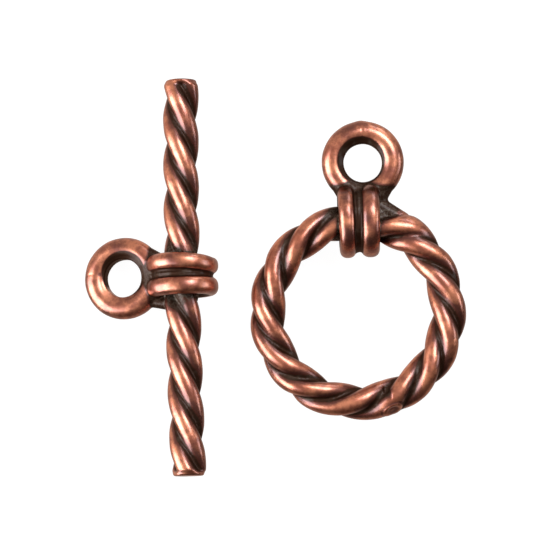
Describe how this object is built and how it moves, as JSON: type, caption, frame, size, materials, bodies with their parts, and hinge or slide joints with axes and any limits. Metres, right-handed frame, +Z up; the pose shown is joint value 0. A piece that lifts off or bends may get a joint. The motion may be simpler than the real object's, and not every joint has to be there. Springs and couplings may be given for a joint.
{
  "type": "toggle clasp",
  "caption": "Jewellery clasp in loose halves, a ring and a bar of twisted rope, each with an eyelet bound on by a coiled band; the bar passes through the ring and holds crosswise.",
  "frame": {"origin": "the middle of the footprint of both halves, on the surface that they lie on", "axes": "+X from the bar half to the ring half, +Y along the bar, on the ring half from the ring to its eyelet, +Z up"},
  "size_m": [0.025, 0.026, 0.0045],
  "materials": {
    "antique_copper": "polished antique copper plating with near-black patina in the grooves"
  },
  "bodies": {
    "root": {"toggle_ring": "antique_copper", "toggle_bar": "antique_copper"}
  },
  "joints": []
}
